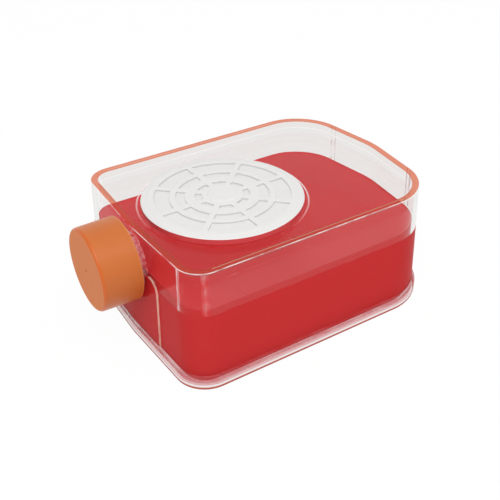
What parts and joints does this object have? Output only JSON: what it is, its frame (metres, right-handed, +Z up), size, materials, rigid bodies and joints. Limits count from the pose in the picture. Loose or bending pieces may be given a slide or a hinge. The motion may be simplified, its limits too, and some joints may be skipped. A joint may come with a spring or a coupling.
{
  "type": "cell culture flask",
  "caption": "Clear box flask for growing cells, with a recessed top plate, a round vent grille, a welded base tray, a side neck with a screw cap and a charge of medium.",
  "frame": {"origin": "middle of the box outline on the flat underside of the base tray", "axes": "+X from the neck wall to the far wall, along the length; +Z up, out of the vent; +Y to the left when looking along +X"},
  "size_m": [0.1576, 0.1078, 0.0589],
  "materials": {
    "clear_styrene": "clear, moulded, polished",
    "clear_styrene_base": "clear, moulded, polished",
    "white_plastic": "satin moulded",
    "white_membrane": "matt porous film",
    "orange_plastic": "satin moulded",
    "liner_foam": "matt closed foam",
    "red_medium": "clear red liquid"
  },
  "bodies": {
    "flask": {"flask_body": "clear_styrene", "base_tray": "clear_styrene_base", "vent_grille": "white_plastic", "vent_membrane": "white_membrane", "culture_medium": "red_medium"},
    "liner": {"cap_liner": "liner_foam"},
    "cap": {"screw_cap": "orange_plastic"}
  },
  "joints": [
    {"name": "cap_travel", "type": "slide", "parent": "flask", "child": "liner", "axis": [-1, 0, 0], "range_m": [0, 0.006]},
    {"name": "cap_turn", "type": "hinge", "parent": "liner", "child": "cap", "pos_m": [-0.0766, 0, 0.04015], "axis": [-1, 0, 0], "range_deg": [0, 540]}
  ],
  "couplings": [
    {"joint": "cap_travel", "follows": "cap_turn", "m_per_rad": 0.00063661}
  ]
}
